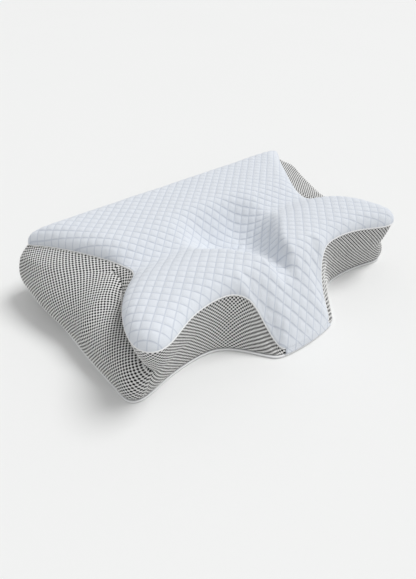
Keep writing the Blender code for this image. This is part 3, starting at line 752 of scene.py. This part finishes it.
def add_end_panels(finishes):
    """The big convex end panels: full height behind the fold, and up to the fold below the wing."""
    def along(place):
        return (base_seam(place) + upper_seam(place)) / 2

    full = places_along(along, REAR_CORNER, FOLD_START, NET_CELL)
    under = places_along(fold_line, FOLD_START, FRONT_CORNER, NET_CELL)
    places = np.concatenate([full, under[1:]])
    high, high_run = net_columns(places, 0.0, TOP_SHARE, HEM_TUCK, HEM_TUCK)
    low, low_run = net_columns(places, 0.0, 1.0, HEM_TUCK, fold_tuck(places))
    rows = max(len(high), len(low))
    is_full = np.arange(len(places)) < len(full)
    columns = np.where(is_full[None, :, None], padded(high, rows), padded(low, rows))
    run = np.where(is_full[None, :], padded(high_run, rows), padded(low_run, rows))
    return [net_panel("net_end_right", columns, run, no_slot, finishes),
            net_panel("net_end_left", mirrored(columns), run[:, ::-1], no_slot, finishes)]


def add_front_panels(finishes):
    """The front panels, counted down from the upper seam: to the fold under the wing, then to the base."""
    under = places_along(upper_seam, FOLD_START, FRONT_CORNER, NET_CELL)
    front = places_along(upper_seam, FRONT_CORNER, NOSE_CORNER, NET_CELL)
    high, high_run = net_columns(under, TOP_SHARE, 1.0, HEM_TUCK, fold_tuck(under))
    low, low_run = net_columns(front, TOP_SHARE, 0.0, HEM_TUCK, HEM_TUCK)
    rows = max(len(high), len(low))
    columns = np.concatenate([padded(high[:, :-1], rows), padded(low, rows)], axis=1)
    run = np.concatenate([padded(high_run[:, :-1], rows), padded(low_run, rows)], axis=1)
    return [net_panel("net_front_right", columns[:, ::-1], run[:, ::-1], no_slot, finishes),
            net_panel("net_front_left", mirrored(columns[:, ::-1]), run, no_slot, finishes)]


def add_rear_panel(finishes):
    """The rear panel, with the zipper's slot low in it."""
    fine = np.linspace(-REAR_CORNER, REAR_CORNER, REAR_SAMPLES)
    x = (base_seam(fine)[:, 0] + upper_seam(fine)[:, 0]) / 2
    slot_columns = round(2 * ZIP_HALF / NET_CELL)
    side_columns = round((x.max() - ZIP_HALF) / NET_CELL)
    stops = np.concatenate([
        np.linspace(x.min(), -ZIP_HALF, side_columns + 1)[:-1],
        np.linspace(-ZIP_HALF, ZIP_HALF, slot_columns + 1)[:-1],
        np.linspace(ZIP_HALF, x.max(), side_columns + 1)])
    places = np.interp(stops, x, fine)
    low, high = ZIP_LOW_Z - BASE_Z, ZIP_HIGH_Z - BASE_Z
    band = round((high - low) / NET_CELL)
    above = np.arange(1, ROWS_ABOVE_ZIP + 1) * NET_CELL + high
    row_run = np.concatenate([[0], np.linspace(low, high, band + 1), above])
    columns, run = net_columns(places, 0.0, TOP_SHARE, HEM_TUCK, HEM_TUCK, row_run)

    def slot(row, column):
        return 1 <= row <= band and side_columns <= column < side_columns + slot_columns

    return net_panel("net_rear", columns, run, slot, finishes)


# ---------------------------------------------------------------- pipings and bottom

def tube(name, path, radius, finish, closed, sides=PIPING_SIDES):
    """A round cord along a path, closed on itself or with rounded ends."""
    count = len(path)
    if closed:
        along = np.roll(path, -1, axis=0) - np.roll(path, 1, axis=0)
    else:
        along = np.gradient(path, axis=0)
    along /= np.linalg.norm(along, axis=1)[:, None]
    level = np.cross(along, (0, 0, 1.0))
    level /= np.linalg.norm(level, axis=1)[:, None]
    upright = np.cross(level, along)
    radii = np.full(count, radius)
    if not closed:
        taper = np.minimum(np.arange(count), np.arange(count)[::-1]) / TIP_STEPS
        radii = radius * np.sqrt(np.clip(1 - (1 - np.clip(taper, 0, 1)) ** 2, TIP_SMALLEST, 1))
    turns = math.tau * np.arange(sides) / sides
    spokes = (np.cos(turns)[None, :, None] * level[:, None, :]
              + np.sin(turns)[None, :, None] * upright[:, None, :])
    points = path[:, None, :] + radii[:, None, None] * spokes
    faces = []
    for i in range(count if closed else count - 1):
        here, after = i * sides, (i + 1) % count * sides
        for k in range(sides):
            beside = (k + 1) % sides
            faces.append((here + k, after + k, after + beside, here + beside))
    if not closed:
        faces += [tuple(range(sides)), tuple(range(count * sides - 1, (count - 1) * sides - 1, -1))]
    return add_mesh(name, points.reshape(-1, 3), faces, [finish])


def add_pipings(finish):
    """The thin cord on the upper seam, from nose to nose round the rear, and the thick base cord."""
    right = places_along(upper_seam, 0, NOSE_CORNER, PIPING_STEP)
    run = np.concatenate([-right[:0:-1], right])
    out = plan_outward(base_plan, run)
    path = upper_seam(run)
    path[:, :2] += out * UPPER_PIPING_PROUD
    upper = tube("piping_upper_cord", path, UPPER_PIPING_R, finish, False)
    loop = places_along(base_plan, 0, LOOP, PIPING_STEP)[:-1]
    plan = base_plan(loop)
    path = np.column_stack([plan, np.full(len(plan), LOWER_PIPING_Z)])
    lower = tube("piping_lower_cord", path, LOWER_PIPING_R, finish, True)
    return upper, lower


def add_bottom(finish):
    """The bottom panel: a flat knit sheet with a soft edge."""
    places = places_along(base_plan, 0, LOOP, BOTTOM_STEP)[:-1]
    count = len(places)
    plan = base_plan(places)
    out = plan_outward(base_plan, places)
    points = []
    for inset, z in BOTTOM_RINGS:
        points += np.column_stack([plan - out * inset, np.full(count, z)]).tolist()
    faces = []
    for ring in range(len(BOTTOM_RINGS) - 1):
        for k in range(count):
            after = (k + 1) % count
            faces.append((ring * count + k, (ring + 1) * count + k,
                          (ring + 1) * count + after, ring * count + after))
    last = (len(BOTTOM_RINGS) - 1) * count
    points += [(0, 0, BOTTOM_RINGS[0][1]), (0, 0, 0)]
    top, low = len(points) - 2, len(points) - 1
    for k in range(count):
        after = (k + 1) % count
        faces.append((k, after, top))
        faces.append((last + after, last + k, low))
    return add_mesh("bottom_knit", points, faces, [finish], smooth=False)


# ---------------------------------------------------------------- zipper and label

def add_coil(node, finish):
    """A zipper coil: a flattened helix of nylon wire filling the CAD coil's box."""
    low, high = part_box(node)
    low, high = np.array(low) / MM, np.array(high) / MM
    turns = int((high[0] - low[0] - 2 * COIL_WIRE) / COIL_PITCH)
    t = np.arange(turns * COIL_POINTS + 1) / COIL_POINTS
    middle = (low + high) / 2
    half = (high - low) / 2 - COIL_WIRE
    path = np.column_stack([
        low[0] + COIL_WIRE + t * COIL_PITCH,
        middle[1] + half[1] * np.cos(math.tau * t),
        middle[2] + half[2] * np.sin(math.tau * t)])
    return tube(node + "_wire", path, COIL_WIRE, finish, False, COIL_SIDES)


def rounded_copy(node, finish):
    """A copy of a CAD node with its edges rounded."""
    source = bpy.data.objects[node]
    made = bpy.data.objects.new(node + "_rounded", source.data.copy())
    bpy.context.scene.collection.objects.link(made)
    made.data.materials.clear()
    made.data.materials.append(finish)
    weld = made.modifiers.new("weld", "WELD")
    weld.merge_threshold = WELD_DISTANCE
    bevel = made.modifiers.new("round", "BEVEL")
    bevel.width = METAL_ROUNDING * MM
    bevel.segments = ROUNDING_SEGMENTS
    bevel.limit_method = "ANGLE"
    apply_modifiers(made)
    made.data.polygons.foreach_set("use_smooth", [False] * len(made.data.polygons))
    return made


def add_label(finish):
    """A blank satin care label, slightly wavy at its loose lower edge."""
    low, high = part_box("care_label")
    low, high = np.array(low) / MM, np.array(high) / MM
    across, up = LABEL_STEPS, LABEL_STEPS
    points, faces = [], []
    for side in (0, 1):
        for j in range(up + 1):
            for i in range(across + 1):
                u, v = i / across, j / up
                wave = LABEL_WAVE * (1 - v) * math.sin(u * LABEL_WAVE_ANGLE + LABEL_WAVE_START)
                wave = max(wave + LABEL_LIFT * (1 - v), LABEL_DEEPEST)
                points.append((low[0] + u * (high[0] - low[0]),
                               low[1] + LABEL_OFF + side * LABEL_THICK + wave,
                               low[2] + v * (high[2] - low[2])))
    row = across + 1
    layer = row * (up + 1)
    for j in range(up):
        for i in range(across):
            a = j * row + i
            faces.append((a, a + 1, a + row + 1, a + row))
            faces.append((layer + a + row, layer + a + row + 1, layer + a + 1, layer + a))
    for i in range(across):
        faces.append((i, layer + i, layer + i + 1, i + 1))
        a = up * row + i
        faces.append((a, a + 1, layer + a + 1, layer + a))
    for j in range(up):
        a, b = j * row, j * row + row
        faces.append((a, b, layer + b, layer + a))
        a, b = a + across, b + across
        faces.append((a, layer + a, layer + b, b))
    return add_mesh("label_cloth", points, faces, [finish])


# ---------------------------------------------------------------- materials

def principled(name, colour, roughness, metallic=0.0, sheen=0.0):
    made = bpy.data.materials.new(name)
    made.use_nodes = True
    shader = made.node_tree.nodes["Principled BSDF"]
    shader.inputs["Base Color"].default_value = (*colour, 1)
    shader.inputs["Roughness"].default_value = roughness
    shader.inputs["Metallic"].default_value = metallic
    shader.inputs["Sheen Weight"].default_value = sheen
    return made, made.node_tree, shader


def math_node(tree, operation, *inputs):
    node = tree.nodes.new("ShaderNodeMath")
    node.operation = operation
    for socket, value in zip(node.inputs, inputs):
        if isinstance(value, (int, float)):
            socket.default_value = value
        else:
            tree.links.new(value, socket)
    return node.outputs[0]


def coordinates(tree):
    texture = tree.nodes.new("ShaderNodeTexCoord")
    split = tree.nodes.new("ShaderNodeSeparateXYZ")
    tree.links.new(texture.outputs["Object"], split.inputs[0])
    return texture.outputs["Object"], split.outputs


def noise(tree, vector, size, detail=2.0):
    """Noise from 0 to 1 whose blobs are about size metres wide."""
    node = tree.nodes.new("ShaderNodeTexNoise")
    node.inputs["Scale"].default_value = 1 / size
    node.inputs["Detail"].default_value = detail
    tree.links.new(vector, node.inputs["Vector"])
    return node.outputs["Fac"]


def ribs(tree, value, period):
    """A sine wave along a coordinate with the given period in metres."""
    return math_node(tree, "SINE", math_node(tree, "MULTIPLY", value, math.tau / period))


def tint(tree, shader, factor, dark, light):
    """Colour between dark and light by a factor from 0 to 1."""
    mix = tree.nodes.new("ShaderNodeMix")
    mix.data_type = "RGBA"
    tree.links.new(factor, mix.inputs["Factor"])
    mix.inputs["A"].default_value = (*dark, 1)
    mix.inputs["B"].default_value = (*light, 1)
    tree.links.new(mix.outputs["Result"], shader.inputs["Base Color"])


def bump(tree, shader, height, depth):
    node = tree.nodes.new("ShaderNodeBump")
    node.inputs["Strength"].default_value = 1.0
    node.inputs["Distance"].default_value = depth
    tree.links.new(height, node.inputs["Height"])
    tree.links.new(node.outputs["Normal"], shader.inputs["Normal"])


def knit(name):
    """A fine knit: crossed ribs with uneven yarn and slow changes of colour."""
    dark, light, period, depth, roughness, sheen = KNITS[name]
    made, tree, shader = principled(name, light, roughness, sheen=sheen)
    vector, (x, y, z) = coordinates(tree)
    first = math_node(tree, "ADD", x, y)
    second = math_node(tree, "SUBTRACT", math_node(tree, "ADD", x, z), y)
    weave = math_node(tree, "MULTIPLY", ribs(tree, first, period), ribs(tree, second, period))
    fuzz = noise(tree, vector, period * FUZZ_SIZE)
    bump(tree, shader, math_node(tree, "ADD", math_node(tree, "MULTIPLY", weave, RIB_RELIEF), fuzz), depth)
    slow = math_node(tree, "MULTIPLY", noise(tree, vector, SLOW_SIZE), SLOW_SHARE)
    fast = math_node(tree, "MULTIPLY", fuzz, FUZZ_SHARE)
    tint(tree, shader, math_node(tree, "ADD", slow, fast), dark, light)
    return made


def quilted_knit():
    """The top's white knit with painted shade, a slightly darker bluish line, along the quilting's stitched
    grooves.
    """
    made = knit("quilted_knit")
    tree = made.node_tree
    shader = tree.nodes["Principled BSDF"]
    _, (x, y, _) = coordinates(tree)
    lines = []
    for way in ("ADD", "SUBTRACT"):
        across = math_node(tree, "DIVIDE", math_node(tree, way, x, y), math.sqrt(2) * QUILT_PITCH * MM)
        off = math_node(tree, "PINGPONG", across, 0.5)
        lines.append(math_node(tree, "MULTIPLY", off, QUILT_PITCH))
    nearest = math_node(tree, "MINIMUM", *lines)
    near = math_node(tree, "SMOOTH_MIN", nearest, GROOVE_SHADE_REACH, GROOVE_SHADE_SOFTNESS)
    # painted shade in the grooves, strongest on the stitched line and fading out within its reach
    groove_shade = math_node(tree, "SUBTRACT", GROOVE_SHADE_REACH, near)
    groove_shade_share = math_node(tree, "MULTIPLY", math_node(tree, "MAXIMUM", groove_shade, 0.0), GROOVE_SHADE_WEIGHT)
    plain = shader.inputs["Base Color"].links[0].from_socket
    mix = tree.nodes.new("ShaderNodeMix")
    mix.data_type = "RGBA"
    tree.links.new(groove_shade_share, mix.inputs["Factor"])
    tree.links.new(plain, mix.inputs["A"])
    mix.inputs["B"].default_value = (*GROOVE_SHADE_COLOUR, 1)
    tree.links.new(mix.outputs["Result"], shader.inputs["Base Color"])
    return made


def foam_finish():
    plain, dark, light = FOAM_COLOURS
    made, tree, shader = principled("foam", plain, FOAM_ROUGHNESS)
    vector, _ = coordinates(tree)
    pores = tree.nodes.new("ShaderNodeTexVoronoi")
    pores.inputs["Scale"].default_value = 1 / PORE_SIZE
    tree.links.new(vector, pores.inputs["Vector"])
    bump(tree, shader, pores.outputs["Distance"], PORE_DEPTH)
    tint(tree, shader, noise(tree, vector, FOAM_PATCH), dark, light)
    return made


def metal_finish():
    plain, dark, light = METAL_COLOURS
    made, tree, shader = principled("zip_metal", plain, METAL_ROUGHNESS, metallic=1.0)
    vector, _ = coordinates(tree)
    grain = noise(tree, vector, METAL_GRAIN, GRAIN_DETAIL)
    least, more = GRAIN_ROUGHNESS
    rough = math_node(tree, "ADD", math_node(tree, "MULTIPLY", grain, more), least)
    tree.links.new(rough, shader.inputs["Roughness"])
    tint(tree, shader, grain, dark, light)
    return made


def coil_finish():
    plain, dark, light = NYLON_COLOURS
    made, tree, shader = principled("coil_nylon", plain, NYLON_ROUGHNESS)
    vector, _ = coordinates(tree)
    tint(tree, shader, noise(tree, vector, NYLON_PATCH), dark, light)
    bump(tree, shader, noise(tree, vector, NYLON_GRAIN), NYLON_DEPTH)
    return made


# ---------------------------------------------------------------- studio

def add_camera():
    a, e = CAMERA_TURN, CAMERA_TILT
    forward = Vector((math.sin(a) * math.cos(e), math.cos(a) * math.cos(e), -math.sin(e)))
    right = Vector((math.cos(a), -math.sin(a), 0))
    up = Vector((math.sin(a) * math.sin(e), math.cos(a) * math.sin(e), math.cos(e)))
    data = bpy.data.cameras.new("camera")
    data.sensor_width = SENSOR_WIDTH
    data.lens = CAMERA_LENS
    data.shift_x, data.shift_y = CAMERA_SHIFT
    data.clip_start = NEAREST_SEEN
    camera = bpy.data.objects.new("camera", data)
    place = -forward * CAMERA_AWAY + right * CAMERA_RIGHT + up * CAMERA_UP
    turn = Matrix((right, up, -forward)).transposed().to_4x4()
    camera.matrix_world = Matrix.Translation(place) @ turn
    bpy.context.scene.collection.objects.link(camera)
    bpy.context.scene.camera = camera
    bpy.context.scene.view_settings.view_transform = "Standard"


def add_studio():
    world = bpy.data.worlds.new("studio")
    world.use_nodes = True
    back = world.node_tree.nodes["Background"]
    back.inputs["Color"].default_value = (1, 1, 1, 1)
    back.inputs["Strength"].default_value = WORLD_STRENGTH
    bpy.context.scene.world = world
    data = bpy.data.lights.new("key", "SUN")
    data.energy = KEY_POWER
    data.angle = KEY_SOFTNESS
    light = bpy.data.objects.new("key", data)
    light.rotation_euler = Vector(KEY_FROM).to_track_quat("Z", "Y").to_euler()
    bpy.context.scene.collection.objects.link(light)
    plain, dark, light = FLOOR_COLOURS
    finish, tree, shader = principled("floor", plain, FLOOR_ROUGHNESS)
    vector, _ = coordinates(tree)
    tint(tree, shader, noise(tree, vector, FLOOR_PATCH), dark, light)
    mesh = bpy.data.meshes.new("floor")
    corners = [(x * FLOOR_HALF, y * FLOOR_HALF, 0) for x, y in ((-1, -1), (1, -1), (1, 1), (-1, 1))]
    mesh.from_pydata(corners, [], [(0, 1, 2, 3)])
    mesh.materials.append(finish)
    floor = bpy.data.objects.new("floor", mesh)
    floor.location.z = FLOOR_Z
    bpy.context.scene.collection.objects.link(floor)


# ---------------------------------------------------------------- assembly


def stand_for(piece, body, slot, *nodes):
    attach(piece, body)
    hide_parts(*nodes)
    return piece


def refinish(node, finish):
    """A CAD node that keeps its shape and takes a better material."""
    shown = bpy.data.objects[node]
    shown.data.materials.clear()
    shown.data.materials.append(finish)
    return shown


def add_cover():
    """The cover's cloth and pipings."""
    stand_for(add_quilted_top(quilted_knit()), BODY, "quilted_white", "cover_top_panel")
    # the second net material is painted shade on the holes' walls and floors
    net = [knit("net_yarn"), knit("net_hole_shade")]
    pieces = add_end_panels(net) + add_front_panels(net) + [add_rear_panel(net)]
    for piece, node in zip(pieces, NET_NODES):
        stand_for(piece, BODY, "mesh_grey", node)
    upper, lower = add_pipings(knit("piping_twill"))
    stand_for(upper, BODY, "piping_white", "piping_upper")
    stand_for(lower, BODY, "piping_white", "piping_lower")
    stand_for(add_bottom(knit("under_knit")), BODY, "bottom_fabric", "bottom_panel")
    stand_for(add_label(knit("label_weave")), BODY, "label_satin", "care_label")


def add_zipper():
    """The coils, tapes and stops on the pillow, and the slider and pull that move."""
    nylon, metal, tape = coil_finish(), metal_finish(), knit("tape_weave")
    for node in ("zipper_coil_upper", "zipper_coil_lower"):
        stand_for(add_coil(node, nylon), BODY, "zipper_coil", node)
    stand_for(rounded_copy("zipper_slider", metal), "slider", "zipper_metal", "zipper_slider")
    stand_for(rounded_copy("zipper_pull", metal), "pull", "zipper_metal", "zipper_pull")
    for node in ("zipper_tape_upper", "zipper_tape_lower"):
        refinish(node, tape)
    for node in ("zipper_top_stop_upper", "zipper_top_stop_lower", "zipper_bottom_stop"):
        refinish(node, metal)


def refinish_inside():
    """The foam core and its liner."""
    refinish("foam_core", foam_finish())
    liner = knit("liner_jersey")
    refinish("liner_top", liner)
    refinish("liner_bottom", liner)


def main():
    for old in list(bpy.data.objects):
        bpy.data.objects.remove(old, do_unlink=True)
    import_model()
    add_cover()
    add_zipper()
    refinish_inside()
    add_studio()
    add_camera()


main()
